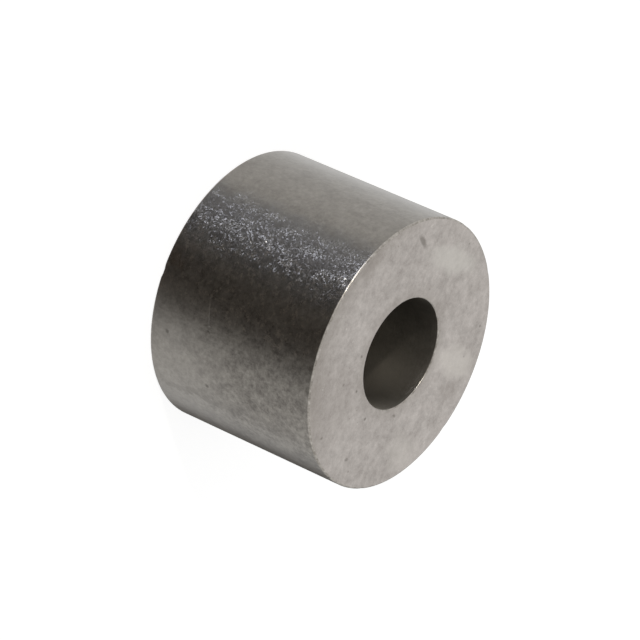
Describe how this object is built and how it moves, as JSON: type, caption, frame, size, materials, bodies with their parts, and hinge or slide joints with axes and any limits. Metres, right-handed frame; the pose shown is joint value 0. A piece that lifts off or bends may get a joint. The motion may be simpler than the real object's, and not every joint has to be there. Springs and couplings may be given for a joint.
{
  "type": "spacer",
  "caption": "Short thick-walled round steel spacer with square faced ends and a plain drilled bore right through.",
  "frame": {"origin": "centre of the end face that it stands on, on the bore's axis", "axes": "+Z along the bore from the standing end to the upper end; +X and +Y lie in the standing end"},
  "size_m": [0.0222, 0.0222, 0.0159],
  "materials": {
    "steel": "bare carbon steel: drawn bar skin outside, faced and tumbled ends, drilled bore"
  },
  "bodies": {
    "root": {"spacer": "steel"}
  },
  "joints": []
}
